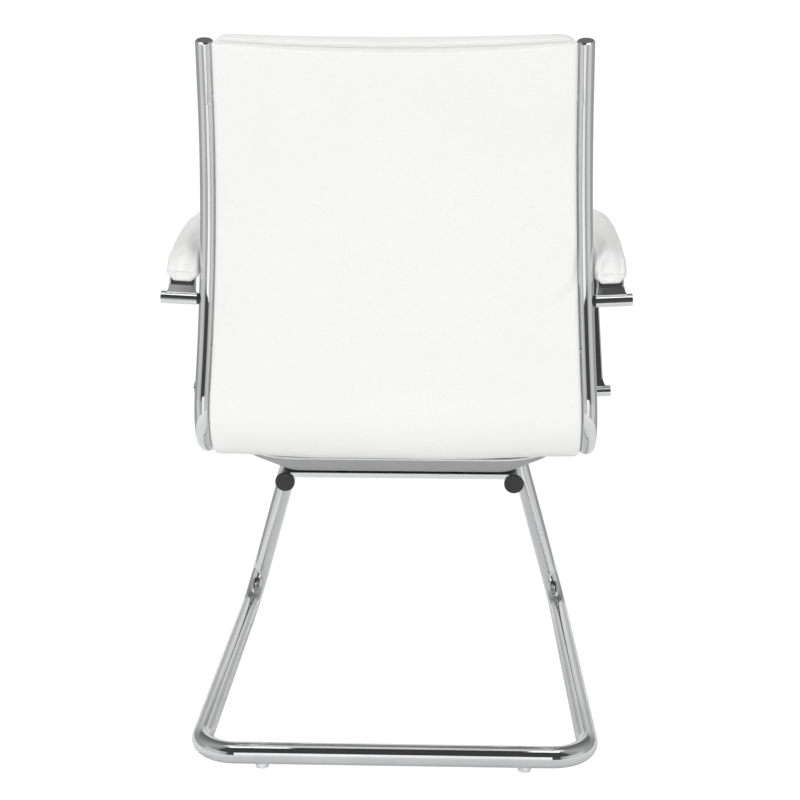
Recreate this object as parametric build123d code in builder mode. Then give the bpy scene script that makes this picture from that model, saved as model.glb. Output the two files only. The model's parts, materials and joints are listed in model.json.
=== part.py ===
from build123d import *
from math import asin, atan2, ceil, cos, degrees, radians, sin, sqrt, tan
import os

# Visitor chair: a padded seat and back between two bent side rails, on a bent tube base.
# Millimetres, +Z up. The sitter faces -Y and left is +X. The origin is on the floor, below the
# middle of the chair's outline.

# Base tube
base_tube = 28.0
base_wall = 2.0
base_bend = 50.0
runner_spacing = 510.0
base_length = 586.0
run_spacing = 326.0
run_rear = 103.0
run_front = 428.0
run_drop = 100.0

# Base end plugs and floor glides
plug_flange = 3.0
plug_stem = 18.0
plug_wall = 2.5
glide_width = 17.0
glide_height = 4.5
glide_saddle = 3.0
glide_pin = 5.0
glide_pin_length = 4.0
rear_glide_spacing = 340.0
front_glide_inset = 95.0

# Cross plates under the seat, folded down along both long edges
plate_width = 46.0
plate_sheet = 3.0
plate_depth = 7.0
plate_sink = 0.8
rear_plate_inset = 24.0
front_plate_at = 345.0
weld_gap = 0.1

# Side rails: seat run, hip bend, lumbar bend, top run, and a front bend under the knees
rail_tube = 22.0
rail_wall = 1.5
rail_spacing = 492.0
rail_tilt = 2.68
hip_reach = 137.0
hip_height = 467.0
hip_radius = 67.0
hip_lean = 15.0
lumbar_radius = 587.0
top_lean = 21.0
top_length = 72.0
seat_pitch = 6.0
seat_run = 398.0
front_radius = 80.0
front_turn = 50.0
cap_rim = 3.0
cap_dome = 1.5
cap_taper = 45.0
cap_stem = 14.0
front_cap_stem = 5.0

# Cushions, measured square to the rail's axis, towards the sitter
side_gap = 1.5
pad_back = 9.2
back_front = 34.0
top_front = 26.0
seat_front = 34.0
back_crown = 9.0
seat_crown = 11.0
front_corner = 15.0
back_corner = 3.0
seat_corner = 14.0
drawn_in = 2.5
channel_depth = 9.0
channel_run = 20.0
top_round = 15.0
top_roll = 0.6
pad_step = 32.0
back_channels = (195.0, 365.0)
seat_channel = 235.0
mitre_turn = 45.0
mitre_gap = 0.4
slab_depth = 38.0
slab_run = 30.0
nose_run = 16.0
nose_round = 16.0
nose_lift = 0.8

# Rear leather cover
cover_gap = 0.8
cover_sheet = 3.4
cover_crown = 2.0
cover_margin = 8.0

# Belly of the seat and its dust cover
belly_width = 336.0
belly_rear = 104.0
belly_front = 396.0
belly_corner = 40.0
side_flare = 1.5
rear_flare = 1.7
front_flare = 0.9
dust_sheet = 1.2
dust_rim = 42.0
belly_gap = 1.2

# Boards
seat_board_sheet = 12.0
seat_board_margin = 6.0
seat_board_corner = 30.0
back_board_sheet = 10.0
back_board_margin = 26.0
back_board_low = 150.0
back_board_top_margin = 34.0
board_gap = 0.3

# Steel under the upholstery
bracket_width = 40.0
bracket_sheet = 4.0
bracket_bend = 10.0
bracket_tab = 11.0
bracket_foot_inset = 24.0
stretcher_tube = 16.0
stretcher_wall = 1.5
low_stretcher_at = 185.0
top_stretcher_inset = 62.0

# Fasteners
seat_bolt = 8.0
seat_bolt_head = 13.0
seat_bolt_head_height = 5.5
seat_bolt_spacing = 164.0
seat_bolt_end = 2.0
seat_washer = 17.0
seat_washer_sheet = 1.6
seat_nut = 14.0
seat_nut_height = 7.0
spacer_width = 22.0
spacer_height = 3.5
rail_bolt = 6.0
rail_bolt_head = 10.0
rail_bolt_head_height = 5.0
rail_bolt_length = 14.0
arm_bolt = 6.0
arm_bolt_head = 10.0
arm_bolt_head_height = 6.0
sleeve_nut = 9.0
sleeve_nut_length = 13.0
sleeve_nut_flange = 14.0
sleeve_nut_sheet = 1.0
board_screw = 5.0
board_screw_head = 9.5
board_screw_spacing = 220.0
board_screw_length = 18.0
hole_gap = 0.3
pocket_gap = 1.0

# Arms: a flat steel band from the back rail, over the top and down to the seat rail
arm_back_at = 246.0
arm_seat_at = 218.0
arm_band_width = 34.0
arm_band = 6.0
arm_band_edge = 2.4
arm_rise = 15.0
arm_rear_bend = 32.0
arm_rear_turn = 72.0
arm_arch_radius = 560.0
arm_arch_turn = 27.0
arm_front_bend = 60.0
arm_sleeve = 16.0
arm_sleeve_length = 46.0
arm_flare_run = 17.0
arm_flare_hollow = 0.25
arm_band_inset = 4.0
arm_saddle = 14.0
arm_saddle_gap = 2.0
arm_head_sink = 9.0
arm_cap = 2.4
arm_pad_width = 40.0
arm_pad_above = 15.5
arm_pad_below = 9.0
arm_pad_crown = 4.0
arm_pad_corner = 7.0
arm_pad_rear_turn = 33.0
arm_pad_front_turn = 24.0
arm_pad_end = 5.0
arm_pad_trim = 4.0
arm_pad_gap = 0.3

# Places that follow from those sizes
pitch = radians(seat_pitch)
tilt = radians(rail_tilt)
floor_axis = glide_height + base_tube / 2
front_end = hip_radius * sin(pitch) + seat_run * cos(pitch)
front_end += front_radius * (sin(pitch) + sin(radians(front_turn) - pitch))
nose_heading = radians(front_turn) - pitch
nose_reach = hip_reach + front_end + (nose_run - nose_round / 2) * cos(nose_heading)
nose_reach += (seat_front + seat_crown / 2 - nose_round / 2) * sin(nose_heading)
bar_y = (nose_reach - base_tube / 2) / 2
hip_y = bar_y - hip_reach
hip_start_y = hip_y - hip_radius * sin(pitch)
hip_start_z = hip_height - hip_radius * cos(pitch)
rail_bore = rail_tube - 2 * rail_wall
tube_top = base_tube / 2 - run_drop
plate_top = tube_top - plate_sink
belly_floor = plate_top + spacer_height
board_floor = belly_floor + dust_sheet
board_top = board_floor + seat_board_sheet
rear_plate_at = run_rear + rear_plate_inset
arm_offset = rail_tube / 2 + arm_saddle_gap + arm_sleeve_length / 2

# Frames: the left rail's leaning plane, the chair's middle, the seat's pitch, the left arm's plane
rail_normal = (cos(tilt), 0, sin(tilt))
rail_plane = Plane((rail_spacing / 2, hip_y, hip_height), x_dir=(0, 1, 0), z_dir=rail_normal)
seat_plane = Plane((0, hip_start_y, hip_start_z), x_dir=(1, 0, 0), z_dir=(0, sin(pitch), cos(pitch)))
arm_plane = rail_plane.offset(arm_offset - arm_band_inset)

# Rail axis in its own plane, from the foot of the hip bend up the back and forward along the seat
hip_start = Vector(-hip_radius * sin(pitch), -hip_radius * cos(pitch))
seat_forward = Vector(-cos(pitch), sin(pitch))
with BuildLine() as rail_axis:
    seat_line = Line(hip_start, hip_start + seat_forward * seat_run)
    front_arc = JernArc(seat_line @ 1, seat_forward, front_radius, front_turn)
    hip_arc = JernArc(hip_start, seat_forward * -1, hip_radius, 90 + seat_pitch + hip_lean)
    lumbar_arc = JernArc(hip_arc @ 1, hip_arc % 1, lumbar_radius, -hip_lean - top_lean)
    top_line = Line(lumbar_arc @ 1, lumbar_arc @ 1 + (lumbar_arc % 1) * top_length)
nose_line = Edge.make_line(front_arc @ 1, front_arc @ 1 + (front_arc % 1) * nose_run)
back_edges = [hip_arc, lumbar_arc, top_line]
seat_edges = [seat_line, front_arc, nose_line]
back_end = sum(edge.length for edge in back_edges)
seat_end = sum(edge.length for edge in seat_edges)
mitre_at = hip_radius * radians(mitre_turn + seat_pitch)


# Point and direction on the rail's axis: s runs up the back, and below zero forward along the seat
def on_axis(s):
    edges = back_edges if s >= 0 else seat_edges
    rest = abs(s)
    for edge in edges[:-1]:
        if rest <= edge.length:
            break
        rest -= edge.length
    else:
        edge = edges[-1]
    share = min(rest / edge.length, 1.0)
    direction = edge % share
    return edge @ share, direction if s >= 0 else direction * -1


# Plane square to the axis in the chair's middle: local y points towards the sitter
def square_plane(s):
    point, direction = on_axis(s)
    return Plane(
        (0, hip_y + point.X, hip_height + point.Y),
        x_dir=(-1, 0, 0),
        z_dir=(0, direction.X, direction.Y),
    )


# Half of the clear width between the rails at a height
def inner_half(z):
    return rail_spacing / 2 - (z - hip_height) * tan(tilt) - rail_tube / 2 / cos(tilt)


# Half width of a cushion at a place on the axis
def pad_half(s):
    return inner_half(hip_height + on_axis(s)[0].Y) - side_gap


# Quarter round from one point to another about the corner of their square
def quarter(start, end, corner):
    centre = Vector(start) + Vector(end) - Vector(corner)
    return ThreePointArc(start, centre + (Vector(corner) - centre) / sqrt(2), end)


# Cross-section of a cushion: flat back, crowned front, rounded corners
def pad_section(plane, half, back, front, crown, back_round, front_round):
    with BuildSketch(plane) as section:
        with BuildLine():
            Line((back_round - half, back), (half - back_round, back))
            quarter((half - back_round, back), (half, back + back_round), (half, back))
            Line((half, back + back_round), (half, front - front_round))
            quarter((half, front - front_round), (half - front_round, front), (half, front))
            ThreePointArc((half - front_round, front), (0, front + crown), (front_round - half, front))
            quarter((front_round - half, front), (-half, front - front_round), (-half, front))
            Line((-half, front - front_round), (-half, back + back_round))
            quarter((-half, back + back_round), (back_round - half, back), (-half, back))
        make_face()
    return section.sketch


# Places between two ends, no further apart than a step
def spread(start, end, step):
    count = max(1, ceil(abs(end - start) / step))
    return [start + (end - start) * i / count for i in range(count + 1)]


# Front of the back cushion: full at the lumbar, thinner towards the top
def back_front_at(s):
    share = max(0.0, (s - back_end / 2) / (back_end / 2))
    return back_front + (top_front - back_front) * share


# Back cushion section: pinch draws the front in at a seam, trim rounds off the top
def back_section(s, pinch=0.0, trim=0.0):
    half = pad_half(s) - drawn_in * (1 - pinch / channel_depth) / 2 - trim / 2
    front = back_front_at(s) - pinch - trim * top_roll
    crown = back_crown * (1 - pinch / channel_depth / 3)
    corner = front_corner - trim * top_roll
    return pad_section(square_plane(s), half, trim / 3 - pad_back, front, crown, back_corner, corner)


# Seat cushion section: the underside drops from the hip to the slab, the nose is rounded off
def seat_section(s, pinch=0.0):
    drop = min(1.0, max(0.0, -s / slab_run))
    nose = max(0.0, (-s - seat_run) / (seat_end - seat_run))
    half = pad_half(s) - drawn_in * (1 - pinch / channel_depth) / 2 - nose_round / 2 * nose**4
    back = -pad_back - (slab_depth - pad_back) * drop * (1 - nose**2 * nose_lift)
    front = seat_front - pinch - nose_round * nose**4
    crown = seat_crown * (1 - pinch / channel_depth / 3) * (1 - nose / 2)
    heel = back_corner + (seat_corner - back_corner) * drop * (1 - nose)
    corner = front_corner - (front_corner - back_corner) * nose**2
    return pad_section(square_plane(s), half, back, front, crown, heel, corner)


# Section of the rear cover: a thin crowned sheet behind the back cushion
def cover_section(s):
    half = pad_half(s)
    inner = -pad_back - cover_gap
    outer = inner - cover_sheet
    with BuildSketch(square_plane(s)) as section:
        with BuildLine():
            Line((-half, inner), (half, inner))
            Line((half, inner), (half, outer))
            ThreePointArc((half, outer), (0, outer - cover_crown), (-half, outer))
            Line((-half, outer), (-half, inner))
        make_face()
    return section.sketch


# Rounded rectangle of the belly at a height over its floor, drawn in all round by an inset
def belly_section(n, inset=0.0):
    rise = n - belly_floor
    width = belly_width + 2 * side_flare * rise - 2 * inset
    rear = belly_rear - rear_flare * rise + inset
    front = belly_front + front_flare * rise - inset
    with BuildSketch(seat_plane.offset(n)) as section:
        with Locations((0, -(rear + front) / 2)):
            RectangleRounded(width, front - rear, belly_corner + rise / 2)
    return section.sketch


# Circle section across the left rail's axis
def rail_section(path, radius, bore=0.0):
    with BuildSketch(Plane(path @ 0, z_dir=path % 0)) as section:
        Circle(radius)
        if bore:
            Circle(bore, mode=Mode.SUBTRACT)
    return section.sketch


# Left arm's band axis in the arm's plane, ending on the tangent to the lower sleeve's centre
arm_top = on_axis(arm_back_at)[0]
arm_foot = on_axis(-arm_seat_at)[0]
with BuildLine() as arm_axis:
    rise_line = Line(arm_top, arm_top + Vector(0, arm_rise))
    rear_arc = JernArc(rise_line @ 1, rise_line % 1, arm_rear_bend, arm_rear_turn)
    arch_arc = JernArc(rear_arc @ 1, rear_arc % 1, arm_arch_radius, arm_arch_turn)
    arch_heading = 90 + arm_rear_turn + arm_arch_turn
    bend_centre = arch_arc @ 1 + (arch_arc % 1).rotate(Axis.Z, 90) * arm_front_bend
    to_foot = arm_foot - bend_centre
    foot_heading = degrees(atan2(to_foot.Y, to_foot.X) + asin(arm_front_bend / to_foot.length))
    front_turn_arm = (foot_heading - arch_heading) % 360
    knee_arc = JernArc(arch_arc @ 1, arch_arc % 1, arm_front_bend, front_turn_arm)
    foot_line = Line(knee_arc @ 1, arm_foot)
arm_edges = [rise_line, rear_arc, arch_arc, knee_arc, foot_line]


# Plane square to the arm's band: local x points away from the chair, local y off its top face
def arm_square(s):
    rest = s
    for edge in arm_edges:
        if rest <= edge.length:
            break
        rest -= edge.length
    share = rest / edge.length
    origin = arm_plane.from_local_coords(edge @ share)
    heading = edge % share
    direction = arm_plane.x_dir * heading.X + arm_plane.y_dir * heading.Y
    return Plane(origin, x_dir=arm_plane.z_dir, z_dir=direction)


# Section of the arm pad: flat below, crowned above, smaller by a trim at its ends
def arm_pad_section(s, trim=0.0):
    half = arm_pad_width / 2 - trim
    low = trim - arm_pad_below
    high = arm_pad_above - trim
    corner = arm_pad_corner
    return pad_section(arm_square(s), half, low, high, arm_pad_crown, corner, corner)


# The same point on the right
def right_of(point):
    return Vector(-point.X, point.Y, point.Z)


# Plane square to the seat's run: local x across, local y square to the seat
def run_plane(at):
    origin = seat_plane.from_local_coords((0, -at, 0))
    return Plane(origin, x_dir=(1, 0, 0), z_dir=seat_plane.y_dir * -1)


# Plane across the left rail at a place on its axis, looking away from the chair
def rail_side(s, out=0.0):
    point = on_axis(s)[0]
    origin = rail_plane.from_local_coords((point.X, point.Y, out))
    return Plane(origin, x_dir=(0, 1, 0), z_dir=rail_normal)


# Plane across the right rail, looking away from the chair
def right_side(s, out=0.0):
    left = rail_side(s, out)
    return Plane(right_of(left.origin), x_dir=(0, 1, 0), z_dir=(-cos(tilt), 0, sin(tilt)))


# Points and paths of the tubes
left_run_end = seat_plane.from_local_coords((run_spacing / 2, -run_rear, -run_drop))
left_run_front = seat_plane.from_local_coords((run_spacing / 2, -run_front, -run_drop))
left_foot = Vector(runner_spacing / 2, bar_y - base_length, floor_axis)
left_heel = Vector(runner_spacing / 2, bar_y, floor_axis)
rail_path = rail_plane.location * rail_axis.wire()
arm_path = arm_plane.location * arm_axis.wire()
glide_front_y = bar_y - base_length + front_glide_inset

# Places of the seat bolts in the seat's plane
seat_bolt_spots = [
    (side * seat_bolt_spacing / 2, -at) for at in (rear_plate_at, front_plate_at) for side in (1, -1)
]
bracket_places = (rear_plate_at, front_plate_at)
stretcher_places = (low_stretcher_at, back_end - top_stretcher_inset)


# Axis of a U bracket in its run plane: a foot on the board and a tab along each rail
def bracket_line(at):
    lift = hip_start_z + at * sin(pitch)
    outer = inner_half(lift) - bracket_sheet / 2 - weld_gap
    lean = tan(tilt) * cos(pitch)
    tab_low = -bracket_tab - bracket_bend / 2
    foot_half = belly_width / 2 - bracket_foot_inset
    foot = board_top + bracket_sheet / 2
    left_points = [
        (outer - lean * bracket_tab, bracket_tab),
        (outer - lean * tab_low, tab_low),
        (foot_half, foot),
    ]
    right_points = [(-x, y) for x, y in reversed(left_points)]
    with BuildLine(run_plane(at)) as line:
        FilletPolyline(*left_points, *right_points, radius=bracket_bend)
    return line.wire()


# Section of a U bracket's flat bar at the start of its axis, larger by a gap
def bracket_section(path, gap=0.0):
    with BuildSketch(Plane(path @ 0, x_dir=seat_plane.y_dir, z_dir=path % 0)) as section:
        Rectangle(bracket_width + 2 * gap, bracket_sheet + 2 * gap)
    return section.sketch


# Side view of a band that follows the back, between two distances from the rail's axis
def back_band(low, high, near, far):
    places = spread(low, high, pad_step)
    with BuildSketch(Plane.YZ) as band:
        with BuildLine():
            edges = []
            for offset, order in ((near, places), (far, places[::-1])):
                edges.append([square_plane(s).from_local_coords((0, offset, 0)) for s in order])
            near_points = [(p.Y, p.Z) for p in edges[0]]
            far_points = [(p.Y, p.Z) for p in edges[1]]
            Spline(near_points)
            Line(near_points[-1], far_points[0])
            Spline(far_points)
            Line(far_points[-1], near_points[0])
        make_face()
    return band.sketch


# Front view of the back board, tapered like the rails, larger by a gap
def board_front(gap=0.0):
    low = square_plane(back_board_low).origin.Z - gap
    high = square_plane(back_end - back_board_top_margin).origin.Z + gap
    low_half = inner_half(low) - back_board_margin + gap
    high_half = inner_half(high) - back_board_margin + gap
    with BuildSketch(Plane.XZ) as front:
        Polygon((-low_half, low), (low_half, low), (high_half, high), (-high_half, high), align=None)
    return front.sketch


# Base frame: top runs, front legs, runners and rear bar, bent from one tube
with BuildPart() as base_frame:
    left_points = [left_run_end, left_run_front, left_foot, left_heel]
    right_points = [right_of(point) for point in reversed(left_points)]
    with BuildLine() as base_axis:
        FilletPolyline(*left_points, *right_points, radius=base_bend)
    base_path = base_axis.wire()
    with BuildSketch(Plane(base_path @ 0, z_dir=base_path % 0)):
        Circle(base_tube / 2)
        Circle(base_tube / 2 - base_wall, mode=Mode.SUBTRACT)
    sweep(path=base_path)
    with BuildSketch(Plane.XY):
        with Locations((0, bar_y)):
            with GridLocations(rear_glide_spacing, 0, 2, 1):
                Circle(glide_pin / 2 + hole_gap)
        with Locations((0, glide_front_y)):
            with GridLocations(runner_spacing, 0, 2, 1):
                Circle(glide_pin / 2 + hole_gap)
    extrude(amount=floor_axis, mode=Mode.SUBTRACT)

# Left end plug: a flange over the tube's end and a hollow stem in its bore
with BuildPart() as base_plug_left:
    plug_plane = Plane(left_run_end, z_dir=seat_plane.y_dir)
    with BuildSketch(plug_plane):
        Circle(base_tube / 2)
    extrude(amount=plug_flange)
    fillet(base_plug_left.faces().sort_by(Axis.Y)[-1].edges(), plug_flange / 2)
    with BuildSketch(plug_plane):
        Circle(base_tube / 2 - base_wall - hole_gap)
        Circle(base_tube / 2 - base_wall - hole_gap - plug_wall, mode=Mode.SUBTRACT)
    extrude(amount=-plug_stem)


# Floor glide: a round pad with a saddle under the tube and a pin in its wall
def make_glide(x, y, along):
    with BuildPart() as glide:
        with BuildSketch(Plane((x, y, 0))):
            Circle(glide_width / 2)
        extrude(amount=glide_height + glide_saddle)
        fillet(glide.faces().sort_by(Axis.Z)[0].edges(), glide_height / 4)
        with BuildSketch(Plane((x, y, floor_axis), z_dir=along)):
            Circle(base_tube / 2)
        extrude(amount=glide_width, both=True, mode=Mode.SUBTRACT)
        with BuildSketch(Plane((x, y, glide_height / 2))):
            Circle(glide_pin / 2)
        extrude(amount=glide_height / 2 + base_wall + glide_pin_length)
    return glide


glide_rear_left = make_glide(rear_glide_spacing / 2, bar_y, (1, 0, 0))
glide_rear_right = make_glide(-rear_glide_spacing / 2, bar_y, (1, 0, 0))
glide_front_left = make_glide(runner_spacing / 2, glide_front_y, (0, 1, 0))
glide_front_right = make_glide(-runner_spacing / 2, glide_front_y, (0, 1, 0))


# Cross plate: a folded channel between the top runs, coped to the tubes, with two bolt holes
def make_plate(at):
    with BuildPart() as plate:
        with BuildSketch(seat_plane.offset(plate_top)):
            with Locations((0, -at)):
                Rectangle(run_spacing, plate_width)
        extrude(amount=-plate_depth)
        with BuildSketch(seat_plane.offset(plate_top - plate_sheet)):
            with Locations((0, -at)):
                Rectangle(run_spacing, plate_width - 2 * plate_sheet)
        extrude(amount=-plate_depth, mode=Mode.SUBTRACT)
        with BuildSketch(run_plane(at)):
            with Locations((0, -run_drop)):
                with GridLocations(run_spacing, 0, 2, 1):
                    Circle(base_tube / 2 + weld_gap)
        extrude(amount=plate_width, both=True, mode=Mode.SUBTRACT)
        with BuildSketch(seat_plane.offset(plate_top)):
            with Locations((0, -at)):
                with GridLocations(seat_bolt_spacing, 0, 2, 1):
                    Circle(seat_bolt / 2 + hole_gap)
        extrude(amount=-plate_sheet, mode=Mode.SUBTRACT)
    return plate


mount_plate_rear = make_plate(rear_plate_at)
mount_plate_front = make_plate(front_plate_at)

# Spacers that keep the seat clear of the plates
with BuildPart() as seat_spacers:
    with BuildSketch(seat_plane.offset(plate_top)):
        with Locations(*seat_bolt_spots):
            Circle(spacer_width / 2)
            Circle(seat_bolt / 2 + hole_gap, mode=Mode.SUBTRACT)
    extrude(amount=spacer_height)

# Washers under the bolt heads
with BuildPart() as seat_washers:
    with BuildSketch(seat_plane.offset(plate_top - plate_sheet)):
        with Locations(*seat_bolt_spots):
            Circle(seat_washer / 2)
            Circle(seat_bolt / 2 + hole_gap, mode=Mode.SUBTRACT)
    extrude(amount=-seat_washer_sheet)

# Seat bolts, from below through the plates, spacers and board into the brackets' nuts
seat_bolt_under = plate_top - plate_sheet - seat_washer_sheet
seat_bolt_top = board_top + bracket_sheet + seat_nut_height + seat_bolt_end
with BuildPart() as seat_bolts:
    with BuildSketch(seat_plane.offset(seat_bolt_under)):
        with Locations(*seat_bolt_spots):
            RegularPolygon(seat_bolt_head / 2, 6, major_radius=False)
    extrude(amount=-seat_bolt_head_height)
    with BuildSketch(seat_plane.offset(seat_bolt_under)):
        with Locations(*seat_bolt_spots):
            Circle(seat_bolt / 2)
    extrude(amount=seat_bolt_top - seat_bolt_under)

# Nuts on the brackets
with BuildPart() as seat_nuts:
    with BuildSketch(seat_plane.offset(board_top + bracket_sheet)):
        with Locations(*seat_bolt_spots):
            RegularPolygon(seat_nut / 2, 6, major_radius=False)
            Circle(seat_bolt / 2 + weld_gap, mode=Mode.SUBTRACT)
    extrude(amount=seat_nut_height)

# Dust cover: a flared tray under the belly, holed for the bolts
with BuildPart() as dust_cover:
    loft([belly_section(belly_floor), belly_section(-dust_rim)], ruled=True)
    tray_inset = dust_sheet * (1 + side_flare) / 2
    tray_inner = [belly_section(board_floor, tray_inset), belly_section(-dust_rim, tray_inset)]
    loft(tray_inner, ruled=True, mode=Mode.SUBTRACT)
    with BuildSketch(seat_plane.offset(belly_floor)):
        with Locations(*seat_bolt_spots):
            Circle(seat_bolt / 2 + hole_gap)
    extrude(amount=dust_sheet, mode=Mode.SUBTRACT)

# Seat board in the tray
with BuildPart() as seat_board:
    with BuildSketch(seat_plane.offset(board_floor)):
        with Locations((0, -(belly_rear + belly_front) / 2)):
            board_depth = belly_front - belly_rear - 2 * seat_board_margin
            RectangleRounded(belly_width - 2 * seat_board_margin, board_depth, seat_board_corner)
        with Locations(*seat_bolt_spots):
            Circle(seat_bolt / 2 + hole_gap, mode=Mode.SUBTRACT)
    extrude(amount=seat_board_sheet)


# U bracket: a bent flat bar that carries both rails on the seat board
def make_bracket(at):
    path = bracket_line(at)
    with BuildPart() as bracket:
        sweep(bracket_section(path), path=path)
        with BuildSketch(seat_plane.offset(board_top)):
            with Locations((0, -at)):
                with GridLocations(seat_bolt_spacing, 0, 2, 1):
                    Circle(seat_bolt / 2 + hole_gap)
        extrude(amount=bracket_sheet, mode=Mode.SUBTRACT)
        for tab in (rail_side(-at), right_side(-at)):
            with BuildSketch(tab):
                Circle(rail_bolt / 2 + hole_gap)
            extrude(amount=-rail_tube, mode=Mode.SUBTRACT)
    return bracket


seat_bracket_rear = make_bracket(rear_plate_at)
seat_bracket_front = make_bracket(front_plate_at)

# Left rail: swept tube, crossed by the arm bolts and tapped by the bracket bolts
with BuildPart() as side_rail_left:
    sweep(rail_section(rail_path, rail_tube / 2, rail_bore / 2), path=rail_path)
    for s in (arm_back_at, -arm_seat_at):
        with BuildSketch(rail_side(s)):
            Circle(arm_bolt / 2 + hole_gap)
        extrude(amount=rail_tube, mode=Mode.SUBTRACT)
        with BuildSketch(rail_side(s)):
            Circle(sleeve_nut / 2 + hole_gap)
        extrude(amount=-rail_tube, mode=Mode.SUBTRACT)
    for at in bracket_places:
        with BuildSketch(rail_side(-at)):
            Circle(rail_bolt / 2 + hole_gap)
        extrude(amount=-rail_tube, mode=Mode.SUBTRACT)

# Full rod in the place of each rail, which shapes what sits against the rails
with BuildPart() as rail_rods:
    sweep(rail_section(rail_path, rail_tube / 2 + weld_gap), path=rail_path)
    mirror(about=Plane.YZ)


# Domed cap over a rail's end, with a stem in its bore
def make_rail_cap(point, direction, stem):
    end = Plane(point, z_dir=direction)
    with BuildPart() as cap:
        with BuildSketch(end):
            Circle(rail_tube / 2)
        extrude(amount=cap_rim)
        with BuildSketch(end.offset(cap_rim)):
            Circle(rail_tube / 2)
        extrude(amount=cap_dome, taper=cap_taper)
        with BuildSketch(end):
            Circle(rail_bore / 2 - hole_gap)
        extrude(amount=-stem)
    return cap


rail_top = rail_plane.from_local_coords(top_line @ 1)
rail_top_direction = rail_plane.from_local_coords(top_line @ 1 + top_line % 1) - rail_top
rail_front = rail_plane.from_local_coords(front_arc @ 1)
rail_front_direction = rail_plane.from_local_coords(front_arc @ 1 + front_arc % 1) - rail_front
rail_cap_top_left = make_rail_cap(rail_top, rail_top_direction, cap_stem)
rail_cap_front_left = make_rail_cap(rail_front, rail_front_direction, front_cap_stem)

# Bolts from the brackets' tabs into the rails: left ones drawn, right ones mirrored
with BuildPart() as rail_bolts:
    for at in bracket_places:
        tab_face = rail_side(-at, -rail_tube / 2 - 2 * weld_gap - bracket_sheet)
        with BuildSketch(tab_face):
            RegularPolygon(rail_bolt_head / 2, 6, major_radius=False)
        extrude(amount=-rail_bolt_head_height)
        with BuildSketch(tab_face):
            Circle(rail_bolt / 2)
        extrude(amount=rail_bolt_length)
    mirror(about=Plane.YZ)


# Plane on the back at a place on its axis: local z points towards the sitter
def back_face(s, x, n):
    square = square_plane(s)
    return Plane(square.from_local_coords((x, n, 0)), x_dir=square.x_dir, z_dir=square.y_dir)


board_near = stretcher_tube / 2 + board_gap
board_far = board_near + back_board_sheet
board_screw_spots = [(s, side * board_screw_spacing / 2) for s in stretcher_places for side in (1, -1)]


# Cross tube between the rails, coped to both and holed for the board's screws
def make_stretcher(s):
    with BuildPart() as stretcher:
        with BuildSketch(Plane(square_plane(s).origin, z_dir=(1, 0, 0))):
            Circle(stretcher_tube / 2)
            Circle(stretcher_tube / 2 - stretcher_wall, mode=Mode.SUBTRACT)
        extrude(amount=inner_half(square_plane(s).origin.Z) + rail_tube / 2, both=True)
        add(rail_rods.part, mode=Mode.SUBTRACT)
        with BuildSketch(back_face(s, 0, 0)):
            with GridLocations(board_screw_spacing, 0, 2, 1):
                Circle(board_screw / 2 + hole_gap)
        extrude(amount=stretcher_tube, mode=Mode.SUBTRACT)
    return stretcher


stretcher_low = make_stretcher(low_stretcher_at)
stretcher_top = make_stretcher(back_end - top_stretcher_inset)

# Bent back board in front of the cross tubes
board_span = (back_board_low - back_board_margin, back_end)
with BuildPart() as back_board:
    extrude(back_band(*board_span, board_near, board_far), amount=rail_spacing / 2, both=True)
    extrude(board_front(), amount=base_length, both=True, mode=Mode.INTERSECT)
    for s, x in board_screw_spots:
        with Locations(back_face(s, x, board_far)):
            CounterSinkHole(board_screw / 2 + hole_gap, board_screw_head / 2 + hole_gap, board_far)

# Countersunk screws that hold the back board on the cross tubes
with BuildPart() as board_screws:
    for s, x in board_screw_spots:
        with BuildSketch(back_face(s, x, board_far)):
            Circle(board_screw_head / 2)
        extrude(amount=-(board_screw_head - board_screw) / 2, taper=45)
        with BuildSketch(back_face(s, x, board_far)):
            Circle(board_screw / 2)
        extrude(amount=-board_screw_length)

# Back cushion: panels between the mitre, the sewn channels and the top, hollowed for the board
with BuildPart() as board_room:
    extrude(back_band(*board_span, -back_front, board_far + board_gap), amount=rail_spacing / 2, both=True)
    extrude(board_front(board_gap), amount=base_length, both=True, mode=Mode.INTERSECT)
with BuildPart() as back_cushion:
    seams = [mitre_at + mitre_gap / 2, *back_channels, back_end]
    for low, high in zip(seams, seams[1:]):
        sections = [back_section(low, channel_depth)]
        sections += [back_section(s) for s in spread(low + channel_run, high - channel_run, pad_step)]
        if high == back_end:
            sections += [back_section(high - top_round / 3, 0.0, top_round / 3)]
            sections += [back_section(high, 0.0, top_round)]
        else:
            sections += [back_section(high, channel_depth)]
        loft(sections)
    add(board_room.part, mode=Mode.SUBTRACT)
    for s in stretcher_places:
        with BuildSketch(Plane(square_plane(s).origin, z_dir=(1, 0, 0))):
            Circle(stretcher_tube / 2 + pocket_gap)
        extrude(amount=rail_spacing / 2, both=True, mode=Mode.SUBTRACT)

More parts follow.
